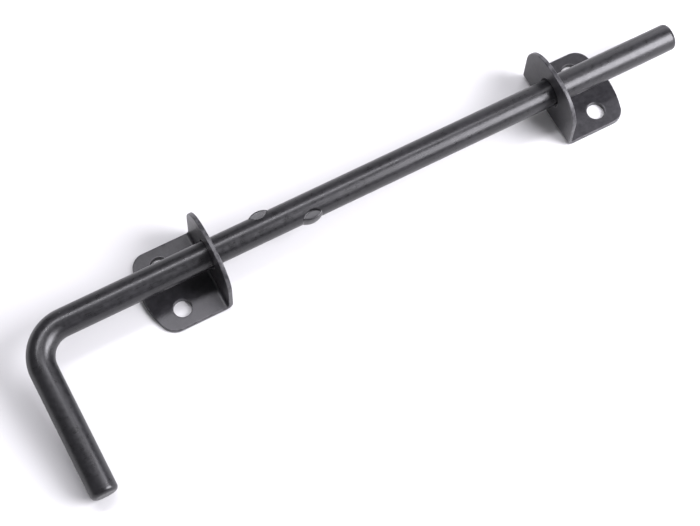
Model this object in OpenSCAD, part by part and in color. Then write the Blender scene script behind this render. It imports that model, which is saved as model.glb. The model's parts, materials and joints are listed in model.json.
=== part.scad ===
// Drop bolt for a gate: a round bar, bent into a handle at one end, that slides
// and turns in two pressed L brackets. +X runs down the bar towards its tip, +Z
// stands out of the mounting plane, and the origin is the middle of the handle
// bracket's two screw holes, on the mounting plane.

/* [Bar] */
// Diameter of the round bar
bar_d = 12.7; // [10:0.1:15.5]
// Length of the bar, from the handle arm's axis to the tip
bar_length = 325; // [270:1:420]
// Length of the handle arm, from the bar's axis to its end
arm_length = 75.5; // [60:0.5:100]
// Radius of the handle's bend, on the bar's centreline
bend_r = 16; // [10:0.5:20]
// Length of the chamfer at the tip
tip_chamfer_l = 2.6; // [1:0.1:4]
// Depth of the chamfer at the tip
tip_chamfer_d = 2; // [0.5:0.1:3]
// Size of the chamfer at the handle's end
end_chamfer = 1.8; // [0.5:0.1:3]
// Length of the nose, the plain end below the tip bracket
nose_length = 60; // [40:1:60]
// Edge break where the nose meets the rest of the bar
edge_break = 0.3; // [0.3:0.05:1]
// Gap between the handle's end and the mounting plane
arm_gap = 0.5; // [0.3:0.1:3]

/* [Stop ears] */
// Length of an ear along the bar
ear_length = 8.5; // [7:0.5:12]
// How far an ear stands out of the bar
ear_reach = 1.2; // [1:0.1:2]
// Thickness of an ear, between the two flats that the punch leaves
ear_t = 7.4; // [6:0.1:8]
// Radius of the flat-nosed round punch that presses an ear out
punch_r = 5.5; // [5:0.1:7]
// How near to the bar's axis the punch's edge comes
punch_inset = 3.1; // [2.5:0.1:5]
// Distance between the middles of the two ears
ear_pitch = 21.5; // [15:0.5:30]

/* [Brackets] */
// Width of a bracket
bracket_w = 41; // [34:0.5:50]
// Length of a bracket's base, from the flange's outer face
base_length = 34.5; // [31:0.5:44]
// Height of a bracket's flange above the mounting plane
flange_h = 33.7; // [30:0.1:44]
// Thickness of the sheet steel
plate_t = 2; // [1.5:0.1:3]
// Radius inside the bracket's bend
fold_r = 1.5; // [0.5:0.1:4]
// Height of the bar's axis above the mounting plane
axis_h = 18; // [15:0.5:22]
// Radial gap between the bar and its hole in a flange
bar_gap = 0.6; // [0.3:0.1:1.2]
// Radius of the crown at the top of a flange
crown_r = 44; // [30:1:60]
// Radius of the shoulders at the top of a flange
shoulder_r = 16.5; // [6:0.5:17]
// Radius of the curve at the end of a base
base_end_r = 47; // [35:1:70]
// Radius of the corners at the end of a base
base_corner_r = 7.5; // [3:0.5:12]

/* [Screw holes] */
// Diameter of a screw hole
screw_d = 8.2; // [4:0.1:9]
// Distance between a bracket's two screw holes
screw_pitch = 23; // [18:0.5:26]
// Distance from the flange's outer face to the screw holes
screw_setback = 20.5; // [16:0.5:22]

/* [Travel] */
// Distance between the outer faces of the two flanges
flange_pitch = 172.5; // [140:0.5:200]
// How far the bar can rise before an ear meets the handle bracket
lift_travel = 21; // [12:0.5:30]
// How far the bar can drop before its bend meets the handle bracket
drop_travel = 69; // [40:0.5:90]
// Gap left between stop and flange at either end of the travel
stop_gap = 0.4; // [0.3:0.1:1]

/* [Hidden] */

steel = [0.15, 0.15, 0.17];
arc_step = 5;
through = 1;

bar_r = bar_d / 2;
bar_hole_r = bar_r + bar_gap;
fold_out_r = fold_r + plate_t;

// Stations along X, from the screw holes of the handle bracket
handle_flange_x = screw_setback;
tip_flange_x = handle_flange_x + flange_pitch;
arm_x = handle_flange_x - plate_t - stop_gap - drop_travel - bend_r;
tip_x = arm_x + bar_length;
nose_x = tip_x - nose_length;
far_ear_x = handle_flange_x + stop_gap + lift_travel + ear_length / 2;
near_ear_x = far_ear_x + ear_pitch;

// The angle at which the lowest corner of the handle's end clears the plane by arm_gap
arm_droop = asin((axis_h - arm_gap) / norm([arm_length, bar_r])) - atan2(bar_r, arm_length);

// An ear's outline is one arc that rises ear_reach above the bar over ear_length
ear_r = (pow(ear_length / 2, 2) + pow(ear_reach, 2)) / (2 * ear_reach);
punch_y = punch_inset + punch_r;

// Points of an arc round centre c, from angle a0 to angle a1
function arc(c, r, a0, a1) =
    let (steps = max(1, ceil(abs(a1 - a0) / arc_step)))
    [for (i = [0 : steps]) c + r * [cos(a0 + (a1 - a0) * i / steps), sin(a0 + (a1 - a0) * i / steps)]];

// A tongue of width w that ends at height h in a crowned curve with round corners
module tongue(w, h, end_r, corner_r) {
    corner_x = w / 2 - corner_r;
    corner_y = h - end_r + sqrt(pow(end_r - corner_r, 2) - pow(corner_x, 2));
    lean = atan2(corner_y - h + end_r, corner_x);
    polygon(concat(
        [[-w / 2, 0], [w / 2, 0]],
        arc([corner_x, corner_y], corner_r, 0, lean),
        arc([0, h - end_r], end_r, lean, 180 - lean),
        arc([-corner_x, corner_y], corner_r, 180 - lean, 180)));
}

// The folded strip seen from its edge: the base runs to -X and the flange stands at X = 0
module fold_profile() {
    centre = [-fold_out_r, fold_out_r];
    polygon(concat(
        [[-base_length, plate_t], [-base_length, 0]],
        arc(centre, fold_out_r, -90, 0),
        [[0, flange_h], [-plate_t, flange_h]],
        arc(centre, fold_r, 0, -90)));
}

// One pressed bracket, with its flange's outer face at X = 0 and its base towards -X
module bracket() {
    difference() {
        intersection() {
            translate([0, bracket_w / 2, 0]) rotate([90, 0, 0]) linear_extrude(bracket_w) fold_profile();
            rotate([0, 0, 90]) linear_extrude(flange_h)
                tongue(bracket_w, base_length, base_end_r, base_corner_r);
            translate([-base_length, 0, 0]) rotate([90, 0, 90]) linear_extrude(base_length)
                tongue(bracket_w, flange_h, crown_r, shoulder_r);
        }
        translate([-plate_t - through, 0, axis_h]) rotate([0, 90, 0])
            cylinder(h = plate_t + 2 * through, r = bar_hole_r, $fn = 96);
        for (side = [-1, 1])
            translate([-screw_setback, side * screw_pitch / 2, -through])
                cylinder(h = plate_t + 2 * through, d = screw_d, $fn = 64);
    }
}

// An ear on the +Y side of a bar that runs along X, with its middle at the origin
module ear() {
    intersection() {
        translate([0, bar_r + ear_reach - ear_r, 0])
            cylinder(h = ear_t, r = ear_r, center = true, $fn = 96);
        translate([0, punch_y, 0]) cylinder(h = ear_t, r = punch_r, center = true, $fn = 96);
    }
}

// The flats that the punch leaves above and below an ear on the +Y side
module punch_marks() {
    for (side = [0, 180])
        rotate([0, side, 0]) translate([0, punch_y, ear_t / 2]) cylinder(h = bar_r, r = punch_r, $fn = 96);
}

// A straight length of bar up +Z, its top edge cut back by end_d over end_l
module straight_bar(length, end_l, end_d) {
    cylinder(h = length - end_l, r = bar_r, $fn = 96);
    translate([0, 0, length - end_l]) cylinder(h = end_l, r1 = bar_r, r2 = bar_r - end_d, $fn = 96);
}

// Bent handle bar in its own plane: shank along +X from the arm's axis, arm along -Y
module bent_bar() {
    translate([bend_r, 0, 0]) rotate([0, 90, 0])
        straight_bar(nose_x - arm_x - bend_r, edge_break, edge_break);
    translate([bend_r, -bend_r, 0]) rotate([0, 0, 90]) rotate_extrude(angle = 90, $fn = 96)
        translate([bend_r, 0]) circle(r = bar_r, $fn = 96);
    translate([0, -bend_r, 0]) rotate([90, 0, 0])
        straight_bar(arm_length - bend_r, end_chamfer, end_chamfer);
}

module handle_bracket() {
    color(steel) translate([handle_flange_x, 0, 0]) bracket();
}

module tip_bracket() {
    color(steel) translate([tip_flange_x, 0, 0]) rotate([0, 0, 180]) bracket();
}

module handle_bar() {
    color(steel) translate([arm_x, 0, axis_h]) rotate([arm_droop, 0, 0]) {
        difference() {
            bent_bar();
            translate([far_ear_x - arm_x, 0, 0]) punch_marks();
            translate([near_ear_x - arm_x, 0, 0]) rotate([180, 0, 0]) punch_marks();
        }
        translate([far_ear_x - arm_x, 0, 0]) ear();
        translate([near_ear_x - arm_x, 0, 0]) rotate([180, 0, 0]) ear();
    }
}

// The plain lower end of the bar, which turns unseen in the handle bar's place
module drop_nose() {
    color(steel) translate([nose_x, 0, axis_h]) rotate([0, 90, 0]) {
        cylinder(h = edge_break, r1 = bar_r - edge_break, r2 = bar_r, $fn = 96);
        translate([0, 0, edge_break])
            straight_bar(nose_length - edge_break, tip_chamfer_l, tip_chamfer_d);
    }
}

handle_bracket();
tip_bracket();
handle_bar();
drop_nose();
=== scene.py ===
"""Looks of a gate drop bolt: a round bar, bent into a handle, in two pressed L brackets."""

from __future__ import annotations

import json
import logging
import math
from dataclasses import dataclass, field
from enum import Enum
from typing import Any, Callable, Optional, Sequence, Union

import bmesh
import bpy
from mathutils import Matrix, Vector


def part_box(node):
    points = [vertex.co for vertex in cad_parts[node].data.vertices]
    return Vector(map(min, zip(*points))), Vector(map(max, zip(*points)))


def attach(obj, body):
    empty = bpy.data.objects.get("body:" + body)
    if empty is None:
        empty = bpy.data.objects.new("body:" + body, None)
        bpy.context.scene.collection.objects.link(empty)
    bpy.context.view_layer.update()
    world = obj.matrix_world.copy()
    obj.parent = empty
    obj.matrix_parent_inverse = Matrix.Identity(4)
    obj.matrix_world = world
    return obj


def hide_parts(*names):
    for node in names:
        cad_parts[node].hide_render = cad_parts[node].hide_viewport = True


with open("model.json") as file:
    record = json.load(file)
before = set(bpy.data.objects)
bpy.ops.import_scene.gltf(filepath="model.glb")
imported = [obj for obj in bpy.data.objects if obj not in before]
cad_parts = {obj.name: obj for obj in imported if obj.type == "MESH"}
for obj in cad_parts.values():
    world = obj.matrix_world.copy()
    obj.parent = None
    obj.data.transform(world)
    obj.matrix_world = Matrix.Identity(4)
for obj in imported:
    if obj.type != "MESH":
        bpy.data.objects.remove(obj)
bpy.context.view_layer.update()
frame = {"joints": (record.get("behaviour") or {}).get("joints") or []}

log = logging.getLogger("drop_bolt")

MM = 0.001
# Vertex attribute on the sheared edges, which the coat lightens: partly worn coat, partly a painted
# highlight along the rims.
EDGE_WEAR_AND_SHEEN = "edge_wear_and_sheen"


# --------------------------------------------------------------------- shader maths


Number = Union[int, float]


class Value:
    """A number that a shader works out: a node's socket with Python's operators."""

    def __init__(self, tree: ShaderTree, socket: bpy.types.NodeSocket) -> None:
        """Wraps a socket.

        Args:
            tree: the material's tree that the socket belongs to.
            socket: an output socket.
        """
        self.tree = tree
        self.socket = socket

    def _math(self, operation: str, *values: Union[Value, Number]) -> Value:
        """Adds one Math node.

        Args:
            operation: the Math node's operation.
            values: its inputs, in order.

        Returns:
            The node's result.
        """
        return self.tree.node("ShaderNodeMath", {"operation": operation}, dict(enumerate(values))).value()

    def __add__(self, other: Union[Value, Number]) -> Value:
        """Adds."""
        return self._math("ADD", self, other)

    def __radd__(self, other: Number) -> Value:
        """Adds, with the number first."""
        return self._math("ADD", other, self)

    def __sub__(self, other: Union[Value, Number]) -> Value:
        """Subtracts."""
        return self._math("SUBTRACT", self, other)

    def __rsub__(self, other: Number) -> Value:
        """Subtracts from a number."""
        return self._math("SUBTRACT", other, self)

    def __mul__(self, other: Union[Value, Number]) -> Value:
        """Multiplies."""
        return self._math("MULTIPLY", self, other)

    def __rmul__(self, other: Number) -> Value:
        """Multiplies, with the number first."""
        return self._math("MULTIPLY", other, self)

    def __lt__(self, other: Union[Value, Number]) -> Value:
        """1 where this is less, and 0 elsewhere."""
        return self._math("LESS_THAN", self, other)

    def ramp(self, low: Number, high: Number) -> Value:
        """Rises smoothly from 0 at low to 1 at high.

        Args:
            low: the value that gives 0.
            high: the value that gives 1, which may be below low.

        Returns:
            A value from 0 to 1.
        """
        settings = {"interpolation_type": "SMOOTHSTEP", "clamp": True}
        inputs = {"Value": self, "From Min": low, "From Max": high, "To Min": 0.0, "To Max": 1.0}
        return self.tree.node("ShaderNodeMapRange", settings, inputs).value()


class Node:
    """A node that a tree has just made."""

    def __init__(self, tree: ShaderTree, node: bpy.types.Node) -> None:
        """Wraps a node.

        Args:
            tree: the tree that the node belongs to.
            node: the node.
        """
        self.tree = tree
        self.node = node

    def value(self, name: Union[str, int] = 0) -> Value:
        """An output as a number, by its name or its place."""
        return Value(self.tree, self.node.outputs[name])

    def socket(self, name: Union[str, int] = 0) -> bpy.types.NodeSocket:
        """An output as a plain socket, for a colour, a vector or a shader."""
        return self.node.outputs[name]


class ShaderTree:
    """The node tree of one material."""

    def __init__(self, name: str) -> None:
        """Starts an empty material.

        Args:
            name: the material's name.
        """
        self.material = bpy.data.materials.new(name)
        self.material.use_nodes = True
        self.nodes = self.material.node_tree.nodes
        self.links = self.material.node_tree.links
        self.nodes.clear()

    def node(self, kind: str, settings: Optional[dict[str, Any]] = None,
             inputs: Optional[dict[Union[str, int], Any]] = None) -> Node:
        """Adds a node of any type.

        Args:
            kind: the node's type.
            settings: its properties, which are set first.
            inputs: values or links for its inputs, by name or place.

        Returns:
            The new node.
        """
        made = self.nodes.new(kind)
        for name, setting in (settings or {}).items():
            setattr(made, name, setting)
        for name, given in (inputs or {}).items():
            self._feed(made.inputs[name], given)
        return Node(self, made)

    def _feed(self, socket: bpy.types.NodeSocket, given: Any) -> None:
        """Links or sets one input.

        Args:
            socket: the input.
            given: a Value, a Node, a socket, or a plain value.
        """
        if isinstance(given, Value):
            self.links.new(given.socket, socket)
        elif isinstance(given, Node):
            self.links.new(given.socket(), socket)
        elif isinstance(given, bpy.types.NodeSocket):
            self.links.new(given, socket)
        else:
            socket.default_value = given

    def place(self, stretch: Sequence[float] = (1.0, 1.0, 1.0)) -> bpy.types.NodeSocket:
        """The object's own coordinates, in metres, scaled on each axis.

        Args:
            stretch: how much each axis is multiplied by.

        Returns:
            A vector socket.
        """
        object_place = self.node("ShaderNodeTexCoord").socket("Object")
        mapping = self.node("ShaderNodeMapping", {"vector_type": "POINT"},
                            {"Vector": object_place, "Scale": tuple(stretch)})
        return mapping.socket("Vector")

    def noise(self, size: float, detail: float = 2.0, stretch: Sequence[float] = (1.0, 1.0, 1.0),
              rough: float = 0.5) -> Value:
        """Soft noise.

        Args:
            size: the width of one blotch, in metres.
            detail: how many finer layers there are.
            stretch: how much each axis is multiplied by first.
            rough: how strong the finer layers are.

        Returns:
            A value that is mostly between 0.3 and 0.7.
        """
        inputs = {"Vector": self.place(stretch), "Scale": 1.0 / size, "Detail": detail, "Roughness": rough}
        return self.node("ShaderNodeTexNoise", {"noise_dimensions": "3D"}, inputs).value("Fac")

    def cells(self, size: float, stretch: Sequence[float] = (1.0, 1.0, 1.0)) -> Value:
        """Distance to the nearest of many scattered points, in cell widths.

        Args:
            size: the width of one cell, in metres.
            stretch: how much each axis is multiplied by first.

        Returns:
            0 at a point, rising outwards.
        """
        inputs = {"Vector": self.place(stretch), "Scale": 1.0 / size, "Randomness": 1.0}
        return self.node("ShaderNodeTexVoronoi", {"feature": "F1"}, inputs).value("Distance")

    def mix(self, share: Union[Value, Number], low: Any, high: Any) -> bpy.types.NodeSocket:
        """Mixes two colours.

        Args:
            share: 0 for the low colour and 1 for the high one.
            low: a colour or a colour socket.
            high: a colour or a colour socket.

        Returns:
            A colour socket.
        """
        made = self.node("ShaderNodeMix", {"data_type": "RGBA", "clamp_factor": True})
        sockets = {s.identifier: s for s in made.node.inputs}
        self._feed(sockets["Factor_Float"], share)
        for name, colour in (("A_Color", low), ("B_Color", high)):
            plain = (*colour, 1.0) if isinstance(colour, tuple) else colour
            self._feed(sockets[name], plain)
        return next(s for s in made.node.outputs if s.identifier == "Result_Color")

    def bump(self, height: Value, depth: float, under: Optional[Node] = None) -> Node:
        """Turns a height into a bumped normal.

        Args:
            height: the height, from 0 to 1.
            depth: how deep 1 is, in metres.
            under: a coarser bump that this one goes on.

        Returns:
            The Bump node.
        """
        inputs: dict[Union[str, int], Any] = {"Height": height, "Distance": depth, "Strength": 1.0}
        if under is not None:
            inputs["Normal"] = under
        return self.node("ShaderNodeBump", None, inputs)

    def finish(self, surface: Node) -> bpy.types.Material:
        """Sends a shader to the material's output.

        Args:
            surface: the shader node.

        Returns:
            The finished material.
        """
        self.node("ShaderNodeOutputMaterial", None, {"Surface": surface})
        return self.material


# ------------------------------------------------------------------------- finishes


@dataclass(frozen=True)
class Pattern:
    """A soft pattern of noise, pulled apart into light and dark.

    Attributes:
        size: the width of one blotch, in metres.
        detail: how many finer layers there are.
        low: the noise that gives 0.
        high: the noise that gives 1.
        stretch: how much each axis is multiplied by first.
        rough: how strong the finer layers are.
    """

    size: float
    detail: float
    low: float
    high: float
    stretch: tuple[float, float, float] = (1.0, 1.0, 1.0)
    rough: float = 0.5

    def on(self, tree: ShaderTree) -> Value:
        """The pattern in a material, from 0 to 1."""
        return tree.noise(self.size, self.detail, self.stretch, self.rough).ramp(self.low, self.high)


@dataclass(frozen=True)
class BlackCoat:
    """A thin satin black coating on steel, with grain, scuffs and specks.

    Attributes:
        name: the material's name.
        deep: the coat's darkest colour.
        worn: the colour where it is rubbed.
        gloss_low: the roughness of the smoothest patches.
        gloss_high: the roughness of the dullest patches.
        peel_size: width of the coat's fine ripple, in metres.
        peel_depth: depth of that ripple, in metres.
        grain_stretch: how the lengthwise grain's coordinates are scaled.
        grain_depth: depth of the grain under the coat, in metres.
        specks: how wide a speck is, as a share of its cell.
        speck_cell: the width of the cell round a speck, in metres.
        scratches: how wide a scratch is, as a share of its cell.
        scratch_cell: the width of the cell round a scratch, in metres.
        scratch_stretch: how the scratches' coordinates are scaled.
        scratch_share: how strong a scratch is beside a speck.
        grain_size: width of the grain, in metres.
        worn_edge_and_sheen_colour: the colour of an edge, partly worn coat and partly a painted highlight
            along the rim.
        edge_wear_and_sheen_tone: how far an edge takes that colour, as worn coat and as painted highlight.
        edge_dulling: how much rougher a worn edge is.
        mark_colour: the colour of specks and scratches.
        mark_tone: how far they take that colour.
        mark_dulling: how much rougher they are.
    """

    name: str
    deep: tuple[float, float, float]
    worn: tuple[float, float, float]
    gloss_low: float
    gloss_high: float
    peel_size: float
    peel_depth: float
    grain_stretch: tuple[float, float, float]
    grain_depth: float
    specks: float
    speck_cell: float = 4.2 * MM
    scratches: float = 0.018
    scratch_cell: float = 9 * MM
    scratch_stretch: tuple[float, float, float] = (0.22, 1.0, 1.0)
    scratch_share: float = 0.7
    grain_size: float = 0.45 * MM
    worn_edge_and_sheen_colour: tuple[float, float, float] = (0.13, 0.13, 0.135)
    edge_wear_and_sheen_tone: float = 0.4
    edge_dulling: float = 0.1
    mark_colour: tuple[float, float, float] = (0.3, 0.3, 0.31)
    mark_tone: float = 0.5
    mark_dulling: float = 0.2

    def _marks(self, tree: ShaderTree) -> Value:
        """Specks of dust and short scratches, each kind in patches.

        Args:
            tree: the material's tree.

        Returns:
            1 on a speck, the scratches' share on a scratch, and 0 elsewhere.
        """
        scratch_mask = tree.cells(self.scratch_cell, self.scratch_stretch) < self.scratches
        speck_mask = tree.cells(self.speck_cell) < self.specks
        return speck_mask * SPECKLED.on(tree) + scratch_mask * SCRATCHED.on(tree) * self.scratch_share

    def build(self) -> bpy.types.Material:
        """Makes the material.

        Returns:
            The coat's material.
        """
        tree = ShaderTree(self.name)
        grain = tree.noise(self.grain_size, 2.0, self.grain_stretch)
        peel = tree.noise(self.peel_size, 2.0)
        patterns = {"cloud": CLOUD.on(tree), "mottle": MOTTLE.on(tree),
                    "streaks": grain.ramp(*STREAK_SPAN), "rubbed": RUBBED.on(tree)}
        marks = self._marks(tree)
        edge = tree.node("ShaderNodeAttribute", {"attribute_name": EDGE_WEAR_AND_SHEEN}).value("Fac")
        # Patchy mask of the sheared edges: it lightens them as worn coat and as a painted rim highlight,
        # and dulls them.
        chipped_and_sheen = edge * CHIPPED.on(tree)

        colour = tree.mix(weigh(patterns, TONE_SHARES), self.deep, self.worn)
        # Lightens the sheared edges towards a pale grey: partly worn coat, partly a painted highlight
        # along the rims.
        colour = tree.mix(chipped_and_sheen * self.edge_wear_and_sheen_tone, colour, self.worn_edge_and_sheen_colour)
        colour = tree.mix(marks * self.mark_tone, colour, self.mark_colour)
        dull = weigh(patterns, GLOSS_SHARES)
        rough = (self.gloss_low * (1 - dull) + self.gloss_high * dull
                 + marks * self.mark_dulling + chipped_and_sheen * self.edge_dulling)

        lengthwise = tree.bump(grain, self.grain_depth)
        rippled = tree.bump(peel, self.peel_depth, lengthwise)
        surface = tree.node("ShaderNodeBsdfPrincipled", None, {
            "Base Color": colour, "Roughness": rough, "Normal": rippled,
            "Metallic": 0.0, "IOR": LACQUER_IOR, "Coat Weight": 0.0})
        return tree.finish(surface)


def weigh(patterns: dict[str, Value], shares: dict[str, float]) -> Value:
    """Adds patterns up, each by its share.

    Args:
        patterns: the patterns, by name.
        shares: the share of each pattern that counts.

    Returns:
        The weighted sum.
    """
    first, *rest = (patterns[name] * share for name, share in shares.items())
    return sum(rest, first)


@dataclass(frozen=True)
class PaleFloor:
    """The plain pale floor that the bolt lies on.

    Attributes:
        name: the material's name.
        colour: its colour.
        patch_size: the width of one of its faint patches, in metres.
        patch_tone: how light a patch is beside the rest.
        roughness: its roughness.
        shine: its specular level.
    """

    name: str = "pale_floor"
    colour: tuple[float, float, float] = (0.72, 0.72, 0.715)
    patch_size: float = 300 * MM
    patch_tone: float = 0.995
    roughness: float = 0.9
    shine: float = 0.1

    def build(self) -> bpy.types.Material:
        """Makes the material.

        Returns:
            The floor's material.
        """
        tree = ShaderTree(self.name)
        patch = tuple(c * self.patch_tone for c in self.colour)
        soft = tree.mix(tree.noise(self.patch_size, 1.0), self.colour, patch)
        surface = tree.node("ShaderNodeBsdfPrincipled", None, {
            "Base Color": soft, "Roughness": self.roughness, "Specular IOR Level": self.shine})
        return tree.finish(surface)


CLOUD = Pattern(18 * MM, 3.0, low=0.3, high=0.7)
MOTTLE = Pattern(2.4 * MM, 4.0, low=0.28, high=0.72, rough=0.55)
RUBBED = Pattern(30 * MM, 4.0, low=0.54, high=0.72, stretch=(0.35, 1.0, 1.0), rough=0.6)
CHIPPED = Pattern(2.5 * MM, 3.0, low=0.35, high=0.65)
SCRATCHED = Pattern(6 * MM, 1.0, low=0.52, high=0.6)
SPECKLED = Pattern(9 * MM, 0.0, low=0.48, high=0.56)
STREAK_SPAN = (0.38, 0.62)
TONE_SHARES = {"cloud": 0.3, "mottle": 0.35, "streaks": 0.15, "rubbed": 0.2}
GLOSS_SHARES = {"mottle": 0.5, "streaks": 0.2, "rubbed": 0.3}
LACQUER_IOR = 1.52

BAR_COAT = BlackCoat(
    name="bar_coat", deep=(0.004, 0.004, 0.0046), worn=(0.019, 0.0185, 0.021),
    gloss_low=0.26, gloss_high=0.41, peel_size=0.9 * MM, peel_depth=0.003 * MM,
    grain_stretch=(0.05, 1.0, 1.0), grain_depth=0.003 * MM, specks=0.035)
BRACKET_COAT = BlackCoat(
    name="bracket_coat", deep=(0.012, 0.0117, 0.0134), worn=(0.038, 0.037, 0.041),
    gloss_low=0.28, gloss_high=0.42, peel_size=0.8 * MM, peel_depth=0.004 * MM,
    grain_stretch=(0.5, 0.5, 0.5), grain_depth=0.003 * MM, specks=0.035)


# -------------------------------------------------------------------- mesh helpers


def piece_from(bm: bmesh.types.BMesh, name: str, coat: bpy.types.Material,
               sharp_degrees: float = 40.0) -> bpy.types.Object:
    """Makes a shaded object from a finished bmesh.

    Args:
        bm: the bmesh, which is freed.
        name: the object's name.
        coat: its material.
        sharp_degrees: edges that turn by more than this stay sharp.

    Returns:
        The object, at the origin.
    """
    bmesh.ops.recalc_face_normals(bm, faces=bm.faces)
    mesh = bpy.data.meshes.new(name)
    bm.to_mesh(mesh)
    bm.free()
    mesh.materials.append(coat)
    mesh.shade_smooth()
    mesh.set_sharp_from_angle(angle=math.radians(sharp_degrees))
    made = bpy.data.objects.new(name, mesh)
    bpy.context.scene.collection.objects.link(made)
    return made


def arc_points(centre: Vector, radius: float, start: float, end: float, step: float) -> list[Vector]:
    """Points along a flat arc.

    Args:
        centre: the arc's centre.
        radius: its radius.
        start: the angle that it starts at, in radians.
        end: the angle that it ends at, in radians.
        step: the largest angle between two points, in radians.

    Returns:
        The points, both ends included.
    """
    count = max(1, math.ceil(abs(end - start) / step))
    angles = [start + (end - start) * i / count for i in range(count + 1)]
    return [centre + radius * Vector((math.cos(a), math.sin(a))) for a in angles]


# --------------------------------------------------------------------- sliding bar


# Offsets and weights that average a surface over its neighbourhood
SOFT_BRUSH = ((-1.0, 1), (-0.5, 2), (0.0, 3), (0.5, 2), (1.0, 1))
# Cosine of the angle past which a bar's surface is too far round to be part of an ear
EAR_SECTOR = 0.2
TINY = 1e-6


@dataclass(frozen=True)
class StopEar:
    """An ear that a flat-nosed round punch has pressed out of one side of the bar.

    Attributes:
        middle: its place along the bar, in metres.
        side: +1 on the +Y side of the bar, and -1 on the -Y side.
        length: its length along the bar.
        reach: how far it stands out of the bar.
        thickness: its thickness, between the punch's two flats.
        punch_radius: the punch's radius.
        punch_inset: how near to the bar's axis the punch's edge comes.
        barrel: how far the ear's side falls back towards each flat.
        softness: how far the pressed edges are rounded over.
    """

    middle: float
    side: int
    length: float = 8.5 * MM
    reach: float = 1.2 * MM
    thickness: float = 7.4 * MM
    punch_radius: float = 5.5 * MM
    punch_inset: float = 3.1 * MM
    barrel: float = 0.5 * MM
    softness: float = 0.3 * MM

    def _sharp_radius(self, along: float, angle: float, bar_radius: float) -> float:
        """How far the surface is from the bar's axis, with its edges still sharp.

        Args:
            along: the distance from the ear's middle, along the bar.
            angle: the angle round the bar, from the ear's own direction.
            bar_radius: the bar's radius.

        Returns:
            The distance from the axis.
        """
        outward, across = math.cos(angle), max(abs(math.sin(angle)), TINY)
        if outward < EAR_SECTOR or abs(along) >= self.punch_radius:
            return bar_radius
        punch_middle = self.punch_inset + self.punch_radius
        punch_edge = (punch_middle - math.sqrt(self.punch_radius ** 2 - along ** 2)) / outward
        if punch_edge >= bar_radius:
            return bar_radius
        half = self.length / 2
        arc_radius = (half ** 2 + self.reach ** 2) / (2 * self.reach)
        crest = bar_radius + self.reach - arc_radius + math.sqrt(arc_radius ** 2 - along ** 2)
        off_middle = min(1.0, crest * across / outward / (self.thickness / 2))
        side = (crest - self.barrel * off_middle ** 2) / outward
        return max(punch_edge, min(side, self.thickness / 2 / across))

    def radius_at(self, along: float, angle: float, bar_radius: float) -> float:
        """How far the surface is from the bar's axis, with its edges rounded over.

        Args:
            along: the distance from the ear's middle, along the bar.
            angle: the angle round the bar, from the ear's own direction.
            bar_radius: the bar's radius.

        Returns:
            The distance from the axis.
        """
        total = 0.0
        for step, weight in SOFT_BRUSH:
            for turn, share in SOFT_BRUSH:
                total += weight * share * self._sharp_radius(
                    along + step * self.softness, angle + turn * self.softness / bar_radius, bar_radius)
        return total / sum(weight for _, weight in SOFT_BRUSH) ** 2


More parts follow.
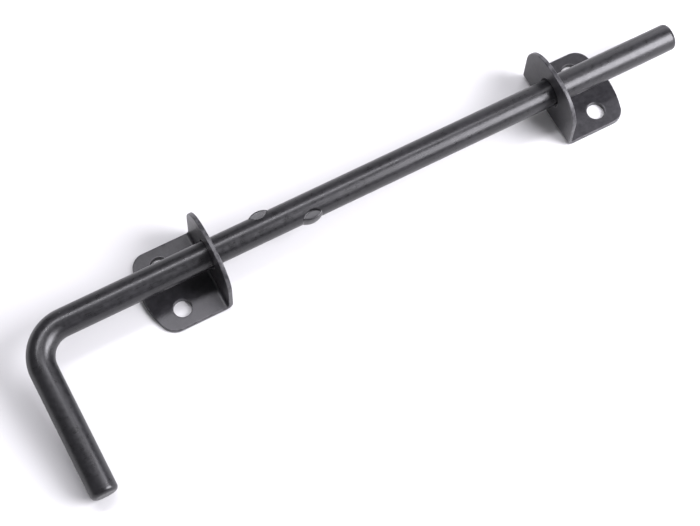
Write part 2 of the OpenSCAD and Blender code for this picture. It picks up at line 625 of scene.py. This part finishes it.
@dataclass
class SlidingBar:
    """The bent bar: a handle arm, a shank with two stop ears, and a plain nose.

    Attributes:
        radius: the bar's radius.
        axis_height: the height of the shank's axis.
        arm_x: the place of the handle arm's axis along the bar.
        nose_x: where the nose starts.
        tip_x: where the bar ends.
        ears: the stop ears.
        arm_length: from the shank's axis to the handle's end.
        bend_radius: the bend's radius on the centreline.
        arm_gap: the gap that the handle's end keeps from the floor.
        segments: how many sides the bar has.
        ear_rings: how many rings of faces cross an ear.
        ear_margin: how far the fine rings run past an ear.
        bend_steps: how many rings make the bend.
        rim_steps: how many rings make an end's rounded rim.
        handle_round: the radius of the handle end's rim.
        tip_round: the radius of the tip's rim.
        seam: the hairline between the nose and the rest, which lets one turn on the other.
    """

    radius: float
    axis_height: float
    arm_x: float
    nose_x: float
    tip_x: float
    ears: list[StopEar] = field(default_factory=list)
    arm_length: float = 75.5 * MM
    bend_radius: float = 16 * MM
    arm_gap: float = 0.5 * MM
    segments: int = 240
    ear_rings: int = 78
    ear_margin: float = 1.2 * MM
    bend_steps: int = 40
    rim_steps: int = 8
    handle_round: float = 2.2 * MM
    tip_round: float = 2.1 * MM
    seam: float = 0.02 * MM

    @property
    def droop(self) -> float:
        """The arm's angle below the shank's plane, in radians."""
        reach = math.hypot(self.arm_length, self.radius)
        lowest = math.asin((self.axis_height - self.arm_gap) / reach)
        return lowest - math.atan2(self.radius, self.arm_length)

    def _first_ring(self, bm: bmesh.types.BMesh, x: float) -> list[bmesh.types.BMEdge]:
        """Starts the bar with one open ring across it.

        Args:
            bm: the bmesh to add to.
            x: the ring's place along the bar.

        Returns:
            The ring's edges.
        """
        turn = Matrix.Translation((x, 0, 0)) @ Matrix.Rotation(math.radians(90), 4, "Y")
        made = bmesh.ops.create_circle(bm, segments=self.segments, radius=self.radius, matrix=turn)
        return list({e for v in made["verts"] for e in v.link_edges})

    def _extend(self, bm: bmesh.types.BMesh, ring: list[bmesh.types.BMEdge],
                step: Vector) -> list[bmesh.types.BMEdge]:
        """Draws a ring out into a length of bar.

        Args:
            bm: the bmesh to add to.
            ring: the open ring's edges.
            step: how far and which way to go.

        Returns:
            The new open ring's edges.
        """
        made = bmesh.ops.extrude_edge_only(bm, edges=ring)["geom"]
        verts = [g for g in made if isinstance(g, bmesh.types.BMVert)]
        bmesh.ops.translate(bm, verts=verts, vec=step)
        return [g for g in made if isinstance(g, bmesh.types.BMEdge) and all(v in verts for v in g.verts)]

    def _close(self, bm: bmesh.types.BMesh, ring: list[bmesh.types.BMEdge], rim: float = 0.0) -> None:
        """Caps an open ring, with a rounded rim if one is asked for.

        Args:
            bm: the bmesh to add to.
            ring: the open ring's edges.
            rim: the rim's radius.
        """
        bmesh.ops.contextual_create(bm, geom=ring)
        if rim > 0:
            bmesh.ops.bevel(bm, geom=ring, offset=rim, offset_type="OFFSET", segments=self.rim_steps,
                            profile=0.5, affect="EDGES", material=-1)

    def _press_ear(self, bm: bmesh.types.BMesh, ear: StopEar) -> None:
        """Moves the fine rings round an ear out to the ear's surface.

        Args:
            bm: the bmesh of the straight shank, on the X axis.
            ear: the ear.
        """
        half = ear.length / 2 + self.ear_margin
        near = [v for v in bm.verts if abs(v.co.x - ear.middle) < half - TINY]
        for v in near:
            angle = math.atan2(v.co.z, ear.side * v.co.y)
            distance = ear.radius_at(v.co.x - ear.middle, angle, self.radius)
            v.co.y, v.co.z = v.co.y * distance / self.radius, v.co.z * distance / self.radius

    def build_handle_bar(self, coat: bpy.types.Material) -> bpy.types.Object:
        """Makes the arm, the bend and the shank with its ears, as one piece.

        Args:
            coat: the bar's material.

        Returns:
            The handle bar.
        """
        bm = bmesh.new()
        at = self.nose_x - self.seam
        ring = first = self._first_ring(bm, at)
        for ear in sorted(self.ears, key=lambda e: -e.middle):
            half = ear.length / 2 + self.ear_margin
            ring = self._extend(bm, ring, Vector((ear.middle + half - at, 0, 0)))
            ring = self._extend(bm, ring, Vector((-2 * half, 0, 0)))
            lengthwise = {e for r in ring for v in r.verts for e in v.link_edges if e not in ring}
            bmesh.ops.subdivide_edges(bm, edges=list(lengthwise), cuts=self.ear_rings, use_grid_fill=True)
            at = ear.middle - half
        for ear in self.ears:
            self._press_ear(bm, ear)
        bend_x = self.arm_x + self.bend_radius
        ring = self._extend(bm, ring, Vector((bend_x - at, 0, 0)))
        bend = bmesh.ops.spin(bm, geom=ring, cent=(bend_x, -self.bend_radius, 0), axis=(0, 0, 1),
                              angle=math.radians(90), steps=self.bend_steps, use_duplicate=False)
        ring = [g for g in bend["geom_last"] if isinstance(g, bmesh.types.BMEdge)]
        ring = self._extend(bm, ring, Vector((0, self.bend_radius - self.arm_length, 0)))
        self._close(bm, ring, self.handle_round)
        self._close(bm, first)
        bmesh.ops.rotate(bm, verts=bm.verts, cent=(0, 0, 0), matrix=Matrix.Rotation(self.droop, 3, "X"))
        bmesh.ops.translate(bm, verts=bm.verts, vec=(0, 0, self.axis_height))
        return piece_from(bm, "handle_bar_steel", coat)

    def build_nose(self, coat: bpy.types.Material) -> bpy.types.Object:
        """Makes the plain lower end with its rounded tip.

        Args:
            coat: the bar's material.

        Returns:
            The nose.
        """
        bm = bmesh.new()
        first = self._first_ring(bm, self.nose_x)
        ring = self._extend(bm, first, Vector((self.tip_x - self.nose_x, 0, 0)))
        self._close(bm, ring, self.tip_round)
        self._close(bm, first)
        bmesh.ops.rotate(bm, verts=bm.verts, cent=(0, 0, 0), matrix=Matrix.Rotation(self.droop, 3, "X"))
        bmesh.ops.translate(bm, verts=bm.verts, vec=(0, 0, self.axis_height))
        return piece_from(bm, "drop_nose_steel", coat)


# ------------------------------------------------------------------------- bracket


class BaseSide(Enum):
    """Which way a bracket's base runs from its flange."""

    TOWARDS_HANDLE = -1
    TOWARDS_TIP = 1


@dataclass
class PressedBracket:
    """An L bracket folded from sheet: a screw-down base and a flange with the bar's hole.

    Attributes:
        node: the CAD node that it stands for.
        flange_x: the place of the flange's outer face.
        side: which way the base runs.
        width: the bracket's width.
        base_length: from the flange's outer face to the end of the base.
        height: the flange's height above the floor.
        axis_height: the height of the bar's hole.
        bar_hole: the radius of the bar's hole.
        thickness: the sheet's thickness.
        fold_inside: the radius inside the fold.
        crown: the radius of the flange's crown.
        shoulder: the radius of the flange's shoulders.
        end_curve: the radius of the base's end.
        end_corner: the radius of the base's corners.
        screw_radius: the radius of a screw hole.
        screw_pitch: the distance between the screw holes.
        screw_setback: from the flange's outer face to the screw holes.
        edge_round: the radius that shearing leaves on the sheet's edges.
        edge_band: the width of the band inside each cut edge.
        edge_steps: how many rings round a sheared edge.
        hole_segments: how many sides a hole has.
        fold_steps: how many strips make the fold.
        outline_step: the largest angle between two points of an outline, in degrees.
        cut_angle: edges that turn by more than this are cut edges, in degrees.
        weld: points of the panels and the fold nearer than this are joined.
    """

    node: str
    flange_x: float
    side: BaseSide
    width: float
    base_length: float
    height: float
    axis_height: float
    bar_hole: float
    thickness: float = 2 * MM
    fold_inside: float = 1.5 * MM
    crown: float = 44 * MM
    shoulder: float = 16.5 * MM
    end_curve: float = 47 * MM
    end_corner: float = 7.5 * MM
    screw_radius: float = 4.1 * MM
    screw_pitch: float = 23 * MM
    screw_setback: float = 20.5 * MM
    edge_round: float = 0.4 * MM
    edge_band: float = 0.8 * MM
    edge_steps: int = 3
    hole_segments: int = 72
    fold_steps: int = 12
    outline_step: float = 3.0
    cut_angle: float = 50.0
    weld: float = 0.01 * MM

    def _tongue(self, length: float, start: float, end_radius: float, corner: float) -> list[Vector]:
        """The outline of a tongue that ends in a crowned curve with round corners.

        Args:
            length: how far the tongue reaches.
            start: where its straight sides begin.
            end_radius: the radius of the crowned end.
            corner: the radius of its corners.

        Returns:
            Flat points from one side's start, round the end, to the other side's start.
        """
        step = math.radians(self.outline_step)
        corner_x = self.width / 2 - corner
        rise = math.sqrt((end_radius - corner) ** 2 - corner_x ** 2)
        centre_y = length - end_radius
        lean = math.atan2(rise, corner_x)
        right = arc_points(Vector((corner_x, centre_y + rise)), corner, 0, lean, step)
        top = arc_points(Vector((0, centre_y)), end_radius, lean, math.pi - lean, step)
        left = arc_points(Vector((-corner_x, centre_y + rise)), corner, math.pi - lean, math.pi, step)
        return [*right, *top[1:-1], *left, *(Vector((y, start)) for y in self._crease_stations())]

    def _crease_stations(self) -> list[float]:
        """Places across the sheet that both panels and the fold share, from -Y to +Y."""
        half, inner = self.width / 2, self.width / 2 - 2 * self.edge_band
        return [-half, -inner, inner, half]

    def _panel(self, bm: bmesh.types.BMesh, outline: list[Vector], holes: Sequence[tuple[Vector, float]],
               place: Callable[[Vector], Vector]) -> None:
        """Fills one flat panel of the sheet, with its holes.

        Args:
            bm: the bmesh to add to.
            outline: the panel's edge, as flat points.
            holes: each hole's flat centre and radius.
            place: puts a flat point where the panel lies.
        """
        verts = [bm.verts.new(place(p)) for p in outline]
        edges = [bm.edges.new(pair) for pair in zip(verts, verts[1:] + verts[:1])]
        for centre, radius in holes:
            rim = bmesh.ops.create_circle(bm, segments=self.hole_segments, radius=radius)["verts"]
            for v in rim:
                v.co = place(centre + v.co.xy)
            edges += list({e for v in rim for e in v.link_edges})
        filled = bmesh.ops.triangle_fill(bm, edges=edges, use_beauty=True)["geom"]
        faces = [g for g in filled if isinstance(g, bmesh.types.BMFace)]
        bmesh.ops.inset_region(bm, faces=faces, thickness=self.edge_band, use_boundary=True,
                               use_even_offset=True)

    def build(self, coat: bpy.types.Material) -> bpy.types.Object:
        """Folds the bracket: outer skin first, then its thickness and its sheared edges.

        Args:
            coat: the bracket's material.

        Returns:
            The bracket.
        """
        bm = bmesh.new()
        bm.verts.layers.float.new(EDGE_WEAR_AND_SHEEN)
        fold = self.fold_inside + self.thickness
        way = self.side.value
        screws = [(Vector((side * self.screw_pitch / 2, self.screw_setback)), self.screw_radius)
                  for side in (-1, 1)]
        base = self._tongue(self.base_length, fold, self.end_curve, self.end_corner)
        flange = self._tongue(self.height, fold, self.crown, self.shoulder)
        self._panel(bm, base, screws, lambda p: Vector((way * p.y, p.x, 0)))
        self._panel(bm, flange, [(Vector((0, self.axis_height)), self.bar_hole)],
                    lambda p: Vector((0, p.x, p.y)))
        crease = [bm.verts.new((way * fold, y, 0)) for y in self._crease_stations()]
        edges = [bm.edges.new(pair) for pair in zip(crease, crease[1:])]
        bmesh.ops.spin(bm, geom=[*crease, *edges], cent=(way * fold, 0, fold), axis=(0, way, 0),
                       angle=math.radians(90), steps=self.fold_steps, use_duplicate=False)
        bmesh.ops.remove_doubles(bm, verts=bm.verts, dist=self.weld)
        bmesh.ops.recalc_face_normals(bm, faces=bm.faces)
        lowest = min(bm.faces, key=lambda f: f.calc_center_median().z)
        if lowest.normal.z > 0:
            bmesh.ops.reverse_faces(bm, faces=bm.faces)
        bmesh.ops.solidify(bm, geom=bm.faces, thickness=self.thickness)
        bmesh.ops.translate(bm, verts=bm.verts, vec=(self.flange_x, 0, 0))
        self._shear_edges(bm)
        made = piece_from(bm, f"{self.node}_sheet", coat)
        made.modifiers.new("flat_panels", "WEIGHTED_NORMAL").keep_sharp = False
        return made

    def _shear_edges(self, bm: bmesh.types.BMesh) -> None:
        """Rounds the sheet's cut edges a little, and marks them where the coat is worn and a highlight
        along the rim is painted.

        Args:
            bm: the folded sheet.
        """
        cut = [e for e in bm.edges if e.calc_face_angle(0.0) > math.radians(self.cut_angle)]
        made = bmesh.ops.bevel(bm, geom=cut, offset=self.edge_round, offset_type="OFFSET",
                               segments=self.edge_steps, profile=0.5, affect="EDGES", material=-1)
        wear_and_sheen_layer = bm.verts.layers.float[EDGE_WEAR_AND_SHEEN]
        # Marks the bevel's vertices for the lightened edge colour: worn coat, and a painted highlight
        # along the rims.
        for v in {v for f in made["faces"] for v in f.verts}:
            v[wear_and_sheen_layer] = 1.0


# -------------------------------------------------------------------------- studio


@dataclass(frozen=True)
class Softbox:
    """A rectangular studio light.

    Attributes:
        name: the light's name.
        towards: the direction that it stands in, from the middle of the bolt.
        distance: how far away it stands.
        size: its length along the bar, and its width across it.
        power: its power, in watts.
        colour: its colour.
        skew: how far its length is turned off the bar's direction, in degrees.
    """

    name: str
    towards: tuple[float, float, float]
    distance: float
    size: tuple[float, float]
    power: float
    colour: tuple[float, float, float] = (1.0, 1.0, 1.0)
    skew: float = 0.0

    def build(self, middle: Vector) -> None:
        """Stands the light where it belongs, facing the bolt.

        Args:
            middle: the point that it faces.
        """
        lamp = bpy.data.lights.new(self.name, "AREA")
        lamp.shape = "RECTANGLE"
        lamp.size, lamp.size_y = self.size
        lamp.energy = self.power
        lamp.color = self.colour
        back = Vector(self.towards).normalized()
        stand = bpy.data.objects.new(self.name, lamp)
        along = (Vector((1, 0, 0)) - back * back.x).normalized()
        axes = Matrix((along, back.cross(along), back)).transposed().to_4x4()
        axes = axes @ Matrix.Rotation(math.radians(self.skew), 4, "Z")
        stand.matrix_world = Matrix.Translation(middle + back * self.distance) @ axes
        stand.visible_camera = False
        bpy.context.scene.collection.objects.link(stand)


@dataclass
class Studio:
    """The pale floor, the soft lights and the camera.

    Attributes:
        aim: the point on the floor that the camera looks at.
        azimuth: the camera's direction round the bolt, in degrees.
        elevation: its height above the horizon, in degrees.
        roll: how far it is turned about its own line of sight, in degrees.
        distance: its distance from the aim.
        lens: its focal length, in millimetres.
        sensor: its sensor's width, in millimetres.
        nearest: how near to it something may be and still show.
        sky: the strength of the white surroundings.
        floor_half: half the floor's width.
        lights: the soft lights.
    """

    aim: Vector
    azimuth: float = -32.12
    elevation: float = 65.77
    roll: float = -4.03
    distance: float = 0.863
    lens: float = 99.3
    sensor: float = 36.0
    nearest: float = 0.05
    sky: float = 0.3
    floor_half: float = 4.0
    lights: Sequence[Softbox] = ()

    def build(self) -> None:
        """Sets up everything round the bolt."""
        self._build_floor()
        self._build_sky()
        for light in self.lights:
            light.build(self.aim)
        self._build_camera()
        bpy.context.scene.view_settings.view_transform = "Standard"

    def _build_floor(self) -> None:
        """Lays the floor at the height of the brackets' undersides."""
        bm = bmesh.new()
        bmesh.ops.create_grid(bm, x_segments=2, y_segments=2, size=self.floor_half)
        floor = piece_from(bm, "floor", PaleFloor().build())

    def _build_sky(self) -> None:
        """Fills the surroundings with even pale light."""
        world = bpy.data.worlds.new("pale_surroundings")
        world.use_nodes = True
        background = world.node_tree.nodes["Background"]
        background.inputs["Color"].default_value = (*COOL, 1.0)
        background.inputs["Strength"].default_value = self.sky
        bpy.context.scene.world = world

    def _build_camera(self) -> None:
        """Stands the camera high up, on the handle's side."""
        a, e = math.radians(self.azimuth), math.radians(self.elevation)
        back = Vector((math.sin(a) * math.cos(e), -math.cos(a) * math.cos(e), math.sin(e)))
        level = back.to_track_quat("Z", "Y")
        turn = level.to_matrix().to_4x4() @ Matrix.Rotation(math.radians(-self.roll), 4, "Z")
        lens = bpy.data.cameras.new("camera")
        lens.sensor_width = self.sensor
        lens.lens = self.lens
        lens.clip_start = self.nearest
        camera = bpy.data.objects.new("camera", lens)
        camera.matrix_world = Matrix.Translation(self.aim + back * self.distance) @ turn
        bpy.context.scene.collection.objects.link(camera)
        bpy.context.scene.camera = camera


COOL = (0.95, 0.935, 1.0)
LIGHTS = (
    Softbox("near_tip_softbox", (0.66, -0.56, 0.72), 0.95, (0.55, 0.66), 15.5, COOL),
    Softbox("tip_wing", (0.95, -0.62, 0.72), 1.05, (0.3, 1.3), 5.0, COOL),
    Softbox("far_strip", (-0.06, 0.30, 1.0), 1.0, (0.9, 0.12), 5.6, COOL, -14.0),
    Softbox("overhead_panel", (0.22, 0.06, 1.0), 1.0, (0.42, 0.2), 0.6, COOL),
    Softbox("far_tip_fill", (0.75, 0.7, 0.45), 1.3, (0.8, 0.8), 3.5, COOL),
    Softbox("far_wall", (0.6, 1.0, 0.22), 1.6, (2.2, 0.5), 3.0, COOL),
)


# ---------------------------------------------------------------------------- main


def middle_of(box: tuple[Vector, Vector]) -> Vector:
    """The middle of a box given by its two corners."""
    return (box[0] + box[1]) / 2


def build_bar() -> SlidingBar:
    """Measures the bar on the frame.

    Returns:
        The bar's sizes, ready to build.
    """
    nose_low, nose_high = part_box("drop_nose")
    bar_low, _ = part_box("handle_bar")
    _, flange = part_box("handle_bracket")
    slide = next(j for j in frame["joints"] if j["name"] == "bar_slide")
    stop_gap, pitch = 0.4 * MM, 21.5 * MM
    far_x = flange.x + stop_gap - slide["range_m"][0] + StopEar.length / 2
    radius = (nose_high.z - nose_low.z) / 2
    return SlidingBar(
        radius=radius, axis_height=middle_of((nose_low, nose_high)).z, arm_x=bar_low.x + radius,
        nose_x=nose_low.x, tip_x=nose_high.x,
        ears=[StopEar(middle=far_x, side=1), StopEar(middle=far_x + pitch, side=-1)])


def build_bracket(node: str, side: BaseSide, bar: SlidingBar) -> PressedBracket:
    """Measures one bracket on the frame.

    Args:
        node: the bracket's CAD node.
        side: which way its base runs.
        bar: the bar that runs through it.

    Returns:
        The bracket's sizes, ready to build.
    """
    low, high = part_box(node)
    bar_gap = 0.6 * MM
    flange_x = high.x if side is BaseSide.TOWARDS_HANDLE else low.x
    return PressedBracket(
        node=node, flange_x=flange_x, side=side, width=high.y - low.y, base_length=high.x - low.x,
        height=high.z, axis_height=bar.axis_height, bar_hole=bar.radius + bar_gap)


def adopt(piece: bpy.types.Object, body: str, node: str) -> None:
    """Hands a finished piece to the frame and reports it.

    Args:
        piece: the finished piece.
        body: the CAD body that it moves with.
        node: the CAD node that it stands for.
    """
    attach(piece, body)
    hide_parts(node)
    log.info("%s stands for %s on %s", piece.name, node, body)


def main() -> None:
    """Builds the bolt, then the studio."""
    logging.basicConfig(level=logging.INFO, format="%(name)s: %(message)s")
    bar_coat, bracket_coat = BAR_COAT.build(), BRACKET_COAT.build()
    bar = build_bar()
    adopt(bar.build_handle_bar(bar_coat), "turning_bar", "handle_bar")
    adopt(bar.build_nose(bar_coat), "sliding_nose", "drop_nose")
    for node, side in (("handle_bracket", BaseSide.TOWARDS_HANDLE), ("tip_bracket", BaseSide.TOWARDS_TIP)):
        sheet = build_bracket(node, side, bar).build(bracket_coat)
        adopt(sheet, "brackets", node)
    Studio(aim=Vector((0.0761, -0.0258, 0.0)), lights=LIGHTS).build()


if __name__ == "__main__":
    main()
